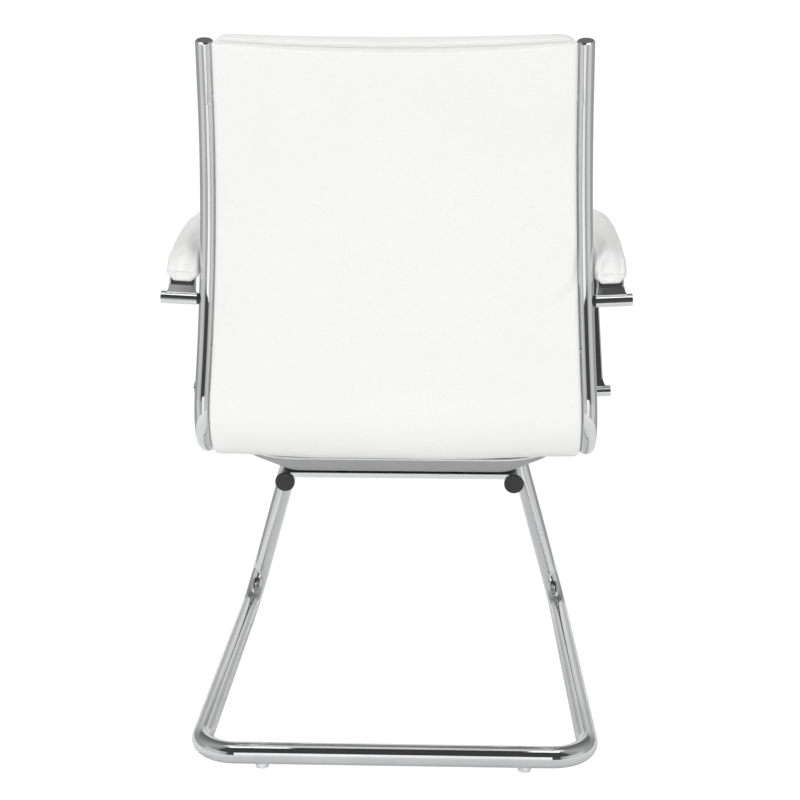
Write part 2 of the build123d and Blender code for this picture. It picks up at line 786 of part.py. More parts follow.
# Seat cushion: panels from the mitre to the nose, a drawn-in belly, and room for the steel
with BuildPart() as seat_cushion:
    hip_panel = [seat_section(mitre_at - mitre_gap / 2, channel_depth)]
    hip_panel += [seat_section(s) for s in spread(mitre_at - mitre_gap / 2 - channel_run, 0, pad_step / 2)]
    loft(hip_panel)
    loft([seat_section(0), seat_section(-slab_run)], ruled=True)
    rear_panel = [seat_section(s) for s in spread(-slab_run, channel_run - seat_channel, pad_step)]
    rear_panel += [seat_section(-seat_channel, channel_depth)]
    loft(rear_panel)
    front_places = spread(-seat_channel - channel_run, -seat_run, pad_step)
    front_places += spread(-seat_run, -seat_end, pad_step / 2)[1:]
    front_panel = [seat_section(-seat_channel, channel_depth)]
    front_panel += [seat_section(s) for s in front_places]
    loft(front_panel)
    belly_inset = tray_inset + belly_gap
    belly_low = belly_section(board_top + board_gap, belly_inset)
    belly_high = belly_section(back_corner - slab_depth, belly_inset)
    loft([belly_low, belly_high], ruled=True)
    for at in bracket_places:
        path = bracket_line(at)
        sweep(bracket_section(path, pocket_gap / 2), path=path, mode=Mode.SUBTRACT)
        for tab in (rail_side(-at, -rail_tube / 2), right_side(-at, -rail_tube / 2)):
            with BuildSketch(tab):
                Circle(rail_bolt_head / sqrt(3) + pocket_gap)
            extrude(amount=-bracket_sheet - rail_bolt_head_height - pocket_gap, mode=Mode.SUBTRACT)
    with BuildSketch(seat_plane.offset(board_top)):
        with Locations(*seat_bolt_spots):
            Circle(seat_nut / sqrt(3) + pocket_gap)
    extrude(amount=seat_bolt_top - board_top + pocket_gap, mode=Mode.SUBTRACT)

# Rear leather cover from the top seam down round the hip
with BuildPart() as back_cover:
    cover_places = spread(0, hip_arc.length, pad_step / 2)
    cover_places += spread(hip_arc.length, back_end - cover_margin, 2 * pad_step)[1:]
    loft([cover_section(s) for s in cover_places])


# Plane on the left arm's sleeve axis: local x along the chair, local z away from it
def sleeve_plane(s, out=0.0):
    return rail_side(s, arm_offset + out)


# Flared end of an arm band: as wide as the sleeve at its axis, as the band further on
def flare_sketch(at, direction):
    square = arm_square(at)
    along = square.z_dir * direction
    face = Plane(square.origin, x_dir=arm_plane.z_dir, z_dir=arm_plane.z_dir.cross(along))
    with BuildSketch(face) as flare:
        neck = arm_band_width / 2
        outer = arm_sleeve_length / 2 + arm_band_inset
        inner = arm_sleeve_length / 2 - arm_band_inset
        outer_waist = (outer + neck) / 2 - arm_flare_hollow * (outer - neck)
        inner_waist = (inner + neck) / 2 - arm_flare_hollow * (inner - neck)
        with BuildLine():
            Line((-inner, 0), (outer, 0))
            ThreePointArc((outer, 0), (outer_waist, arm_flare_run / 2), (neck, arm_flare_run))
            Line((neck, arm_flare_run), (-neck, arm_flare_run))
            ThreePointArc((-neck, arm_flare_run), (-inner_waist, arm_flare_run / 2), (-inner, 0))
        make_face()
    return flare.sketch


arm_length = sum(edge.length for edge in arm_edges)


# Section of the arm's band at the start of its path, larger by a gap
def band_section(gap=0.0):
    with BuildSketch(Plane(arm_path @ 0, x_dir=arm_plane.z_dir, z_dir=arm_path % 0)) as section:
        RectangleRounded(arm_band_width + 2 * gap, arm_band + 2 * gap, arm_band_edge)
    return section.sketch


# Left arm: the bent band, its flared ends and a bored cross sleeve at each end
with BuildPart() as arm_frame_left:
    sweep(band_section(), path=arm_path)
    extrude(flare_sketch(0, 1), amount=arm_band / 2, both=True)
    extrude(flare_sketch(arm_length, -1), amount=arm_band / 2, both=True)
    for s in (arm_back_at, -arm_seat_at):
        with BuildSketch(sleeve_plane(s)):
            Circle(arm_sleeve / 2)
        extrude(amount=arm_sleeve_length / 2, both=True)
    for s in (arm_back_at, -arm_seat_at):
        with BuildSketch(sleeve_plane(s)):
            Circle(arm_bolt / 2 + hole_gap)
        extrude(amount=arm_sleeve_length / 2, both=True, mode=Mode.SUBTRACT)
        with BuildSketch(sleeve_plane(s, arm_sleeve_length / 2)):
            Circle(arm_bolt_head / 2 + hole_gap)
        extrude(amount=-arm_head_sink, mode=Mode.SUBTRACT)

# Left arm pad: a padded sleeve round the band, from the rear bend over the arch into the front bend
with BuildLine() as pad_axis:
    rear_share = arm_pad_rear_turn / arm_rear_turn
    pad_turn = arm_rear_turn - arm_pad_rear_turn
    JernArc(rear_arc @ rear_share, rear_arc % rear_share, arm_rear_bend, pad_turn)
    JernArc(arch_arc @ 0, arch_arc % 0, arm_arch_radius, arm_arch_turn)
    JernArc(knee_arc @ 0, knee_arc % 0, arm_front_bend, arm_pad_front_turn)
pad_path = arm_plane.location * pad_axis.wire()
pad_from = rise_line.length + arm_rear_bend * radians(arm_pad_rear_turn)
pad_to = pad_from + pad_path.length
with BuildPart() as arm_pad_left:
    sweep(arm_pad_section(pad_from), path=pad_path)
    for end, out in ((pad_from, -arm_pad_end), (pad_to, arm_pad_end)):
        middle = arm_pad_section(end + out / 2, arm_pad_trim / 4)
        loft([arm_pad_section(end), middle, arm_pad_section(end + out, arm_pad_trim)])
    sweep(band_section(arm_pad_gap), path=arm_path, mode=Mode.SUBTRACT)

# Saddles between the arm sleeves and the rails
with BuildPart() as arm_saddles:
    for s in (arm_back_at, -arm_seat_at):
        with BuildSketch(sleeve_plane(s, -arm_sleeve_length / 2)):
            Circle(arm_saddle / 2)
            Circle(arm_bolt / 2 + hole_gap, mode=Mode.SUBTRACT)
        extrude(amount=-arm_saddle_gap - rail_tube / 2)
    mirror(about=Plane.YZ)
    add(rail_rods.part, mode=Mode.SUBTRACT)

# Arm bolts through the sleeves and rails
arm_bolt_seat = arm_sleeve_length / 2 - arm_head_sink
with BuildPart() as arm_bolts:
    for s in (arm_back_at, -arm_seat_at):
        with BuildSketch(sleeve_plane(s, arm_bolt_seat)):
            Circle(arm_bolt_head / 2)
        extrude(amount=arm_bolt_head_height)
        with BuildSketch(sleeve_plane(s, arm_bolt_seat)):
            Circle(arm_bolt / 2)
        extrude(amount=-(arm_offset + arm_bolt_seat + rail_bore / 2))
    mirror(about=Plane.YZ)

# Sleeve nuts in the rails, their flanges on the rails' inner sides
with BuildPart() as sleeve_nuts:
    for s in (arm_back_at, -arm_seat_at):
        with BuildSketch(rail_side(s, -rail_tube / 2)):
            Circle(sleeve_nut_flange / 2)
            Circle(arm_bolt / 2 + weld_gap, mode=Mode.SUBTRACT)
        extrude(amount=-sleeve_nut_sheet)
        with BuildSketch(rail_side(s, -rail_tube / 2)):
            Circle(sleeve_nut / 2)
            Circle(arm_bolt / 2 + weld_gap, mode=Mode.SUBTRACT)
        extrude(amount=sleeve_nut_length)
    mirror(about=Plane.YZ)

# Caps over the arm bolts' heads
with BuildPart() as arm_caps:
    for s in (arm_back_at, -arm_seat_at):
        with BuildSketch(sleeve_plane(s, arm_sleeve_length / 2)):
            Circle(arm_bolt_head / 2 + hole_gap / 2)
        extrude(amount=-arm_cap)
    mirror(about=Plane.YZ)


# The right-hand twin of a left-hand piece
def make_right(left):
    with BuildPart() as right:
        mirror(left.part, about=Plane.YZ)
    return right


pieces = {
    "base_frame": base_frame,
    "base_plug_left": base_plug_left,
    "base_plug_right": make_right(base_plug_left),
    "glide_rear_left": glide_rear_left,
    "glide_rear_right": glide_rear_right,
    "glide_front_left": glide_front_left,
    "glide_front_right": glide_front_right,
    "mount_plate_rear": mount_plate_rear,
    "mount_plate_front": mount_plate_front,
    "seat_spacers": seat_spacers,
    "seat_washers": seat_washers,
    "seat_bolts": seat_bolts,
    "seat_nuts": seat_nuts,
    "seat_board": seat_board,
    "dust_cover": dust_cover,
    "seat_bracket_rear": seat_bracket_rear,
    "seat_bracket_front": seat_bracket_front,
    "rail_bolts": rail_bolts,
    "side_rail_left": side_rail_left,
    "side_rail_right": make_right(side_rail_left),
    "rail_cap_top_left": rail_cap_top_left,
    "rail_cap_top_right": make_right(rail_cap_top_left),
    "rail_cap_front_left": rail_cap_front_left,
    "rail_cap_front_right": make_right(rail_cap_front_left),
    "stretcher_low": stretcher_low,
    "stretcher_top": stretcher_top,
    "back_board": back_board,
    "board_screws": board_screws,
    "back_cushion": back_cushion,
    "seat_cushion": seat_cushion,
    "back_cover": back_cover,
    "arm_frame_left": arm_frame_left,
    "arm_frame_right": make_right(arm_frame_left),
    "arm_pad_left": arm_pad_left,
    "arm_pad_right": make_right(arm_pad_left),
    "arm_saddles": arm_saddles,
    "arm_bolts": arm_bolts,
    "sleeve_nuts": sleeve_nuts,
    "arm_caps": arm_caps,
}
os.makedirs("parts", exist_ok=True)
for name, piece in pieces.items():
    piece.part.label = name
    export_step(piece.part, f"parts/{name}.step")
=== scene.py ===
import bmesh
import bpy
import json
from math import cos, exp, pi, radians, sin, sqrt, tan
from mathutils import Matrix, Vector, noise


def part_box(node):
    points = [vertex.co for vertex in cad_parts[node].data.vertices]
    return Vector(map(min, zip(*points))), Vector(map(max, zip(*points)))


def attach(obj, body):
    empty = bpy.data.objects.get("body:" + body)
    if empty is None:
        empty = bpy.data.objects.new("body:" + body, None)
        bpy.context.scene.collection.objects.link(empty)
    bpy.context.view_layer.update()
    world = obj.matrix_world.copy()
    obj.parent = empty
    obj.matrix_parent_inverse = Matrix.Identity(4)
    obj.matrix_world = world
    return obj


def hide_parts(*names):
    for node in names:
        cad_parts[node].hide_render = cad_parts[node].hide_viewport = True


# Visitor chair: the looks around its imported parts. Metres, +Z up, the sitter faces -Y, left is +X.

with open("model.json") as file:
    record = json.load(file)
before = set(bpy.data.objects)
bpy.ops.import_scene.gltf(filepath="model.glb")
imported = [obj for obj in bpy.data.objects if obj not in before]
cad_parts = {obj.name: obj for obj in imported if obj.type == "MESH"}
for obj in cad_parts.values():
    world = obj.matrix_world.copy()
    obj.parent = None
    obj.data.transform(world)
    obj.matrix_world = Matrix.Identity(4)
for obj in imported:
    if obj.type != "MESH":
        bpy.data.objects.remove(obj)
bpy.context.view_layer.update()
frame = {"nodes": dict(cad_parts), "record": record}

# Sizes shared with the solids
base_tube = 0.028
rail_tube = 0.022
rail_spacing = 0.492
rail_tilt = radians(2.68)
hip_reach = 0.137
hip_height = 0.467
hip_radius = 0.067
hip_lean = 15
lumbar_radius = 0.587
top_lean = 21
top_length = 0.072
seat_pitch = 6
seat_run = 0.398
front_radius = 0.080
front_turn = 50
nose_run = 0.016
side_gap = 0.0015
pad_back = 0.0092
slab_depth = 0.038
channel_depth = 0.009
back_channels = (0.195, 0.365)
seat_channel = 0.235

# Places that follow from them
pitch = radians(seat_pitch)
bar_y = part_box("base_frame")[1].y - base_tube / 2
hip_y = bar_y - hip_reach


def line_length(line):
    return sum(part[0] for part in line)


# A flat line of straight runs, given as a length, and arcs, given as a radius and a turn in degrees
def bent_line(start, heading, *runs):
    line = []
    for run in runs:
        if isinstance(run, tuple):
            radius, turn = run
            bend = (1 if turn > 0 else -1) / radius
            length = radius * radians(abs(turn))
        else:
            bend = 0.0
            length = run
        line.append((length, start, heading, bend))
        start, heading = on_line(line, line_length(line))
    return line


# Point and heading at a distance along a bent line
def on_line(line, distance):
    for length, start, heading, bend in line:
        if distance <= length or (length, start, heading, bend) == line[-1]:
            break
        distance -= length
    if bend == 0:
        return start + Vector((cos(heading), sin(heading))) * distance, heading
    end = heading + bend * distance
    step = Vector((sin(end) - sin(heading), cos(heading) - cos(end))) / bend
    return start + step, end


hip_start = Vector((-hip_radius * sin(pitch), -hip_radius * cos(pitch)))
back_line = bent_line(
    hip_start,
    -pitch,
    (hip_radius, 90 + seat_pitch + hip_lean),
    (lumbar_radius, -hip_lean - top_lean),
    top_length,
)
seat_line = bent_line(hip_start, pi - pitch, seat_run, (front_radius, front_turn), nose_run)
back_end = line_length(back_line)
seat_end = line_length(seat_line)


# Place on the upholstery: s up the back, and below zero forward along the seat; n towards the sitter
def place(s, x, n):
    point, heading = on_line(back_line, s) if s >= 0 else on_line(seat_line, -s)
    if s < 0:
        heading += pi
    return Vector((x, hip_y + point.x - sin(heading) * n, hip_height + point.y + cos(heading) * n))


# Half of the clear width between the rails at a place along the upholstery
def pad_half(s):
    lift = place(s, 0, 0).z - hip_height
    return rail_spacing / 2 - lift * tan(rail_tilt) - rail_tube / 2 / cos(rail_tilt) - side_gap


# Smooth step from 0 to 1 between two values
def ease(value, low, high):
    share = min(1.0, max(0.0, (value - low) / (high - low)))
    return share * share * (3 - 2 * share)


# A number of even steps between two ends
def even(start, end, count):
    return [start + (end - start) * i / count for i in range(count + 1)]


# Even steps of about a given length between two ends
def spread(start, end, step):
    return even(start, end, max(1, round(abs(end - start) / step)))


# A node socket: sums and products of values add Math nodes
class Value:
    def __init__(self, finish, socket):
        self.finish = finish
        self.socket = socket

    def math(self, operation, *others):
        sockets = dict(enumerate((self, *others)))
        return self.finish.add("ShaderNodeMath", {"operation": operation}, sockets)

    def step(self, low, high):
        settings = {"interpolation_type": "SMOOTHSTEP"}
        sockets = {"Value": self, "From Min": low, "From Max": high}
        return self.finish.add("ShaderNodeMapRange", settings, sockets)

    def __add__(self, other):
        return self.math("ADD", other)

    def __radd__(self, other):
        return self.math("ADD", other)

    def __sub__(self, other):
        return self.math("SUBTRACT", other)

    def __rsub__(self, other):
        return self.finish.number(other).math("SUBTRACT", self)

    def __mul__(self, other):
        return self.math("MULTIPLY", other)

    def __rmul__(self, other):
        return self.math("MULTIPLY", other)

    def __truediv__(self, other):
        return self.math("DIVIDE", other)

    def __rtruediv__(self, other):
        return self.finish.number(other).math("DIVIDE", self)

    def __abs__(self):
        return self.math("ABSOLUTE")


# A node tree under construction, for one material or for the studio around the chair
class Finish:
    def __init__(self, tree):
        self.tree = tree
        tree.nodes.clear()

    def number(self, value):
        return self.add("ShaderNodeMath", {"operation": "ADD"}, {0: value, 1: 0.0})

    def add(self, kind, settings=None, sockets=None, out=0):
        node = self.tree.nodes.new(kind)
        for name, value in (settings or {}).items():
            if name == "stops":
                ramp = node.color_ramp
                while len(ramp.elements) < len(value):
                    ramp.elements.new(0.5)
                for element, (position, colour) in zip(ramp.elements, value):
                    element.position = position
                    element.color = colour
            else:
                setattr(node, name, value)
        for name, value in (sockets or {}).items():
            if isinstance(value, Value):
                self.tree.links.new(value.socket, node.inputs[name])
            else:
                node.inputs[name].default_value = value
        return Value(self, node.outputs[out]) if node.outputs else node

    def noise(self, at, scale, detail=3.0, roughness=0.5):
        sockets = {"Vector": at, "Scale": scale, "Detail": detail, "Roughness": roughness}
        return self.add("ShaderNodeTexNoise", {}, sockets)

    def mix(self, factor, first, second):
        sockets = {"Factor": factor, 6: first, 7: second}
        return self.add("ShaderNodeMix", {"data_type": "RGBA"}, sockets, 2)

    def bump(self, height, distance, strength=1.0):
        sockets = {"Height": height, "Distance": distance, "Strength": strength}
        return self.add("ShaderNodeBump", {}, sockets)


# A material from its node tree's maker, which returns the sockets of its main shader
def material(name, make):
    made = bpy.data.materials.new(name)
    made.use_nodes = True
    finish = Finish(made.node_tree)
    at = finish.add("ShaderNodeTexCoord", {}, {}, "Object")
    shader = finish.add("ShaderNodeBsdfPrincipled", {}, make(finish, at))
    finish.add("ShaderNodeOutputMaterial", {}, {"Surface": shader})
    return made


# Fine pebbled white leather with faint cloudiness and soft creases
def leather_sockets(finish, at):
    drift = finish.add("ShaderNodeTexNoise", {}, {"Vector": at, "Scale": 240.0}, 1)
    warp = {0: drift, 1: (0.0016, 0.0016, 0.0016), 2: at}
    warped = finish.add("ShaderNodeVectorMath", {"operation": "MULTIPLY_ADD"}, warp)
    pebbles = finish.add(
        "ShaderNodeTexVoronoi", {"feature": "DISTANCE_TO_EDGE"}, {"Vector": warped, "Scale": 780.0}
    )
    pebble = pebbles.step(0.0, 0.32)
    pores = finish.noise(at, 2600.0, 2.0)
    cloud = finish.noise(at, 7.0, 4.0)
    crease = abs(finish.noise(at, 34.0, 5.0, 0.6) - 0.5).step(0.0, 0.05)
    height = pebble * 0.7 + pores * 0.2 + crease * 0.45
    tone = finish.mix(cloud.step(0.3, 0.7), (0.80, 0.80, 0.79, 1), (0.835, 0.835, 0.83, 1))
    return {
        "Base Color": finish.mix(pebble, (0.755, 0.755, 0.75, 1), tone),
        "Roughness": 0.5 - pebble * 0.08 + cloud * 0.06,
        "Normal": finish.bump(height, 0.00012, 0.6),
        "Specular IOR Level": 0.42,
    }


# Bright polished chrome with a breath of haze and handling marks
def chrome_sockets(finish, at):
    haze = finish.noise(at, 9.0, 5.0, 0.6).step(0.42, 0.75)
    marks = finish.noise(at, 65.0, 3.0, 0.7).step(0.55, 0.8)
    ripple = finish.noise(at, 30.0, 2.0)
    return {
        "Base Color": finish.mix(haze, (0.73, 0.734, 0.74, 1), (0.67, 0.674, 0.682, 1)),
        "Metallic": 1.0,
        "Roughness": 0.035 + haze * 0.05 + marks * 0.03,
        "Normal": finish.bump(ripple, 0.00004, 0.5),
    }


# Grey bonded cloth with a fine embossed dot
def cloth_sockets(finish, at):
    dots = finish.add("ShaderNodeTexVoronoi", {}, {"Vector": at, "Scale": 620.0, "Randomness": 0.25})
    dot = 1 - dots.step(0.1, 0.45)
    fibre = finish.noise(at, 1500.0, 4.0, 0.7)
    cloud = finish.noise(at, 16.0, 4.0)
    tone = finish.mix(cloud, (0.28, 0.282, 0.285, 1), (0.355, 0.357, 0.361, 1))
    return {
        "Base Color": finish.mix(dot * 0.6, tone, (0.217, 0.219, 0.222, 1)),
        "Roughness": 0.82 + fibre * 0.14,
        "Normal": finish.bump(fibre * 0.5 - dot * 0.6, 0.00025, 0.7),
        "Sheen Weight": 0.15,
    }


# Black moulded plastic with a fine spark-eroded grain
def black_sockets(finish, at):
    grain = finish.noise(at, 1900.0, 3.0, 0.6)
    wear = finish.noise(at, 55.0, 4.0).step(0.5, 0.8)
    return {
        "Base Color": finish.mix(wear, (0.020, 0.020, 0.021, 1), (0.034, 0.034, 0.035, 1)),
        "Roughness": 0.36 + grain * 0.16,
        "Normal": finish.bump(grain, 0.00008, 0.6),
    }


# Clear moulded plastic, slightly clouded
def clear_sockets(finish, at):
    cloud = finish.noise(at, 120.0, 3.0)
    return {
        "Base Color": finish.mix(cloud, (0.90, 0.91, 0.91, 1), (0.95, 0.955, 0.95, 1)),
        "Roughness": 0.24 + cloud * 0.14,
        "Transmission Weight": 0.45,
        "IOR": 1.40,
    }


# Zinc-plated steel with a faint crystal pattern and scuffs
def zinc_sockets(finish, at):
    flakes = finish.add("ShaderNodeTexVoronoi", {}, {"Vector": at, "Scale": 260.0}, 1)
    scuff = finish.noise(at, 140.0, 5.0, 0.7).step(0.45, 0.75)
    return {
        "Base Color": finish.mix(0.12, (0.60, 0.61, 0.63, 1), flakes),
        "Metallic": 1.0,
        "Roughness": 0.30 + scuff * 0.18,
        "Normal": finish.bump(scuff, 0.00004, 0.5),
    }


# Bent beech plywood with stretched grain
def plywood_sockets(finish, at):
    stretch = {0: at, 1: (6.0, 60.0, 60.0)}
    stretched = finish.add("ShaderNodeVectorMath", {"operation": "MULTIPLY"}, stretch)
    grain = finish.noise(stretched, 3.0, 6.0, 0.6)
    pores = finish.noise(stretched, 22.0, 2.0).step(0.6, 0.8)
    tone = finish.mix(grain, (0.44, 0.29, 0.16, 1), (0.62, 0.46, 0.28, 1))
    return {
        "Base Color": finish.mix(pores * 0.5, tone, (0.30, 0.19, 0.10, 1)),
        "Roughness": 0.58 + grain * 0.16,
        "Normal": finish.bump(grain - pores * 0.5, 0.0002, 0.5),
    }


finishes = {
    "chrome": material("polished_chrome", chrome_sockets),
    "leather": material("white_leather", leather_sockets),
    "black_plastic": material("black_moulding", black_sockets),
    "clear_plastic": material("clear_moulding", clear_sockets),
    "zinc_steel": material("zinc_steel", zinc_sockets),
    "plywood": material("bent_plywood", plywood_sockets),
    "dust_cloth": material("dust_cloth", cloth_sockets),
}

# Solids that keep their shape take the finish of their slot
for row in frame["record"]["subparts"]:
    node = frame["nodes"][row["node"]]
    node.data.materials.clear()
    node.data.materials.append(finishes[row["material_slot"]])

# Counts of points: along a cushion's faces, round its corners and up its sides
row_steps = 44
arm_rows = 22
cover_rows = 150
corner_steps = 5
side_steps = 4
side_points = 2 * (corner_steps - 1) + side_steps + 1

# Sizes that the stuffed pieces share
rail_clear = 0.0002
squeeze = 0.0016
pinch = 0.0014
stitch = 0.0004
heel_round = 0.003
pad_round = 0.015
pad_step = 0.0095
fine_steps = (0.0012, 0.003, 0.0055, 0.009, 0.014)
crown_held = 0.68
crown_free = 0.32
mitre_gap = 0.0002
mitre_at = hip_radius * radians(45 + seat_pitch)


# Corner of a section: points on a quarter circle, without its ends
def quarter(x, n, radius, start):
    turns = [radians(start + 90 * i / corner_steps) for i in range(1, corner_steps)]
    return [(x + radius * cos(a), n + radius * sin(a)) for a in turns]


# Closed section of a cushion in x and n: flat behind, crowned in front, with rounded corners and full sides
def ring(half, back, front, crown, back_round, front_round, bulge=0.0, rows=row_steps):
    inner = half - back_round
    outer = half - front_round
    side = []
    for share in even(0, 1, side_steps):
        n = back + back_round + (front - front_round - back - back_round) * share
        side.append((half + bulge * 4 * share * (1 - share), n))
    points = [(x, back) for x in even(-inner, inner, rows)]
    points += quarter(inner, back + back_round, back_round, -90) + side
    points += quarter(outer, front - front_round, front_round, 0)
    points += [(x, front + crown * (1 - (x / outer) ** 2)) for x in even(outer, -outer, rows)]
    points += quarter(-outer, front - front_round, front_round, 90)
    points += [(-x, n) for x, n in reversed(side)]
    points += quarter(-inner, back + back_round, back_round, 180)
    return points


# Section squeezed against the round rails on both sides, with a hair's breadth between
def squeezed(section, tangent):
    centre = tangent + rail_tube / 2
    reach = rail_tube / 2 + rail_clear
    result = []
    for x, n in section:
        limit = centre - sqrt(reach ** 2 - n ** 2) if abs(n) < reach else abs(x)
        result.append((min(abs(x), limit) * (1 if x > 0 else -1), n))
    return result


# New object from points and faces, in its finish, riding on the chair
def piece(name, points, faces, slot):
    mesh = bpy.data.meshes.new(name)
    mesh.from_pydata(points, [], faces)
    build = bmesh.new()
    build.from_mesh(mesh)
    bmesh.ops.recalc_face_normals(build, faces=build.faces)
    build.to_mesh(mesh)
    build.free()
    for face in mesh.polygons:
        face.use_smooth = True
    mesh.materials.append(finishes[slot])
    made = bpy.data.objects.new(name, mesh)
    bpy.context.scene.collection.objects.link(made)
    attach(made, "root")
    return made


# Tucked end of a sleeve: where its middle stands full, and its groove, as shares of the end's fullness
tuck_full = (0.4, 0.9)
tuck_depth = 0.5
tuck_at = 0.3
tuck_width = 0.14


# Closed grid over a section's end, its middle full by a bulge along s, with a groove inside a tucked rim
def end_cap(s, section, bulge, first, steps, tucked):
    count = steps + 1
    back = section[:count]
    right = section[count:count + side_points]
    front = section[count + side_points:2 * count + side_points][::-1]
    low = back[0][1]
    rows = [[first + i for i in range(count)]]
    points = []
    for k in range(side_points):
        share = (right[k][1] - low) / max(1e-9, front[0][1] - low)
        row = [first + len(section) - 1 - k]
        for (xb, nb), (xf, nf) in zip(back, front):
            x = xb + (xf - xb) * share
            full = max(0.0, 4 * share * (1 - share) * (1 - (x / right[k][0]) ** 4))
            if tucked:
                full = ease(full, *tuck_full) - tuck_depth * exp(-(((full - tuck_at) / tuck_width) ** 2))
            row.append(("new", len(points)))
            points.append((s + bulge * full, x, nb + (nf - nb) * share))
        row.append(first + count + k)
        rows.append(row)
    rows.append([first + 2 * count + side_points - 1 - i for i in range(count)])
    return points, rows


# Loft of sections along s, with a full cap at both ends; at turns s, x and n into a place
def cushion(name, stations, at, slot, bulges=(0.0, 0.0), steps=row_steps, tucked=False):
    size = len(stations[0][1])
    places = [(s, x, n) for s, section in stations for x, n in section]
    faces = []
    for low in range(0, (len(stations) - 1) * size, size):
        for i in range(size):
            j = (i + 1) % size
            faces.append((low + i, low + j, low + size + j, low + size + i))
    for (s, section), bulge, first in (
        (stations[0], -bulges[0], 0),
        (stations[-1], bulges[1], (len(stations) - 1) * size),
    ):
        points, rows = end_cap(s, section, bulge, first, steps, tucked)
        shift = len(places)
        places += points
        rows = [[shift + i[1] if isinstance(i, tuple) else i for i in row] for row in rows]
        for k in range(len(rows) - 1):
            low, high = rows[k], rows[k + 1]
            if len(low) < len(high):
                faces.append((low[0], high[1], high[0]))
                faces.append((low[-1], high[-1], high[-2]))
                high = high[1:-1]
            elif len(low) > len(high):
                faces.append((high[0], low[0], low[1]))
                faces.append((high[-1], low[-2], low[-1]))
                low = low[1:-1]
            for a in range(len(low) - 1):
                faces.append((low[a], low[a + 1], high[a + 1], high[a]))
    made = piece(name, [at(*spot) for spot in places], faces, slot)
    return made, places


# One subdivision over a soft piece
def smoothed(made):
    subdivide = made.modifiers.new("smooth", "SUBSURF")
    subdivide.levels = 1
    subdivide.render_levels = 1


puff_frames = 20


# Swelling of stuffed leather: held points stay, the rest fill out, none further than reach
def puff(made, held, pressure, reach, growth):
    rest = [vertex.co.copy() for vertex in made.data.vertices]
    group = made.vertex_groups.new(name="held")
    for index, weight in enumerate(held):
        if weight > 0:
            group.add([index], weight, "REPLACE")
    cloth = made.modifiers.new("puff", "CLOTH")
    cloth.settings.quality = 5
    cloth.settings.mass = 0.3
    cloth.settings.tension_stiffness = 20
    cloth.settings.compression_stiffness = 20
    cloth.settings.shear_stiffness = 8
    cloth.settings.bending_stiffness = 1.5
    cloth.settings.use_pressure = True
    cloth.settings.uniform_pressure_force = pressure
    cloth.settings.shrink_min = -growth
    cloth.settings.vertex_group_mass = group.name
    cloth.settings.effector_weights.gravity = 0
    cloth.collision_settings.use_collision = False
    cloth.point_cache.frame_start = 1
    cloth.point_cache.frame_end = puff_frames
    scene = bpy.context.scene
    for step in range(1, puff_frames + 1):
        scene.frame_set(step)
    solved = made.evaluated_get(bpy.context.evaluated_depsgraph_get())
    ends = [vertex.co.copy() for vertex in solved.data.vertices]
    made.modifiers.remove(cloth)
    made.vertex_groups.remove(group)
    scene.frame_set(1)
    for vertex, start, end in zip(made.data.vertices, rest, ends):
        move = end - start
        if move.length > reach:
            move *= reach / move.length
        vertex.co = start + move


# Fullness of a panel at a distance from its sewn edge
def fullness(distance, run):
    share = min(1.0, distance / run)
    return sqrt(1 - (1 - share) ** 2)


# Distance along the upholstery to the nearest seam
def to_seam(s, seams):
    return min(abs(s - seam) for seam in seams)


# Stations along s, close together near the seams and wider between them
def stations_between(low, high, seams, step, fine):
    marks = sorted({low, high, *[seam for seam in seams if low <= seam <= high]})
    result = [marks[0]]
    for start, end in zip(marks, marks[1:]):
        near = [offset for offset in fine if offset < (end - start) / 2]
        inner = [start + offset for offset in near] if start in seams else []
        outer = [end - offset for offset in reversed(near)] if end in seams else []
        first = inner[-1] if inner else start
        last = outer[0] if outer else end
        result += inner + spread(first, last, step)[1:-1] + outer + [end]
    return result


# Lift of the top edge's corners over its middle, and how far below the top it starts and is whole
corner_lift = 0.0085
lift_start = 0.14
lift_whole = 0.015


# Height of the top edge's corners over its middle, fading out down the back
def top_lift(s, x):
    share = min(1.0, abs(x) / pad_half(back_end))
    return corner_lift * share ** 2 * ease(s, back_end - lift_start, back_end - lift_whole)


# Small uneven fullness of leather, from a wave's pattern number, its size and its depth
def unevenness(x, s, wave):
    pattern, size, depth = wave
    return noise.noise(Vector((x, s, pattern)) / size) * depth


# Dent or crease: a soft groove of a depth about a place on the back, longer along a heading in degrees
def groove(s, x, at_s, at_x, heading, length, width, depth):
    ds = s - at_s
    dx = x - at_x
    along = dx * cos(radians(heading)) + ds * sin(radians(heading))
    across = ds * cos(radians(heading)) - dx * sin(radians(heading))
    return depth * exp(-((along / length) ** 2) - (across / width) ** 2)


# Place up the back at a height, by halving the stretch above the hip
def back_at_height(z):
    low, high = hip_top, back_end
    for _ in range(halvings):
        middle = (low + high) / 2
        if place(middle, 0, 0).z < z:
            low = middle
        else:
            high = middle
    return low


# Rear leather cover, drawn over the board from the top seam round the hip
hip_top = 0.12
halvings = 40
waist_height = 0.636
cover_gap = 0.0008
cover_sheet = 0.0034
cover_wrap = 0.002
cover_round = 0.0062
cover_inner_round = 0.0006
cover_crown = 0.0022
cover_top = back_end - 0.0054
cover_low = -0.012
cover_step = 0.0032
cover_fine = (0.001, 0.0022)
cover_rim_run = 0.005
cover_rim_drop = 0.0022
cover_rim_draw = 0.0008

# The cover hangs a little at the hip: where that fades out across and up the back
hip_sag = 0.0028
sag_across = (0.09, 0.207)
sag_up = (0.025, 0.085)

# Waves of the cover: pattern number, size and depth of each
cover_waves = ((0.3, 0.16, 0.0011), (0.7, 0.05, 0.0003))

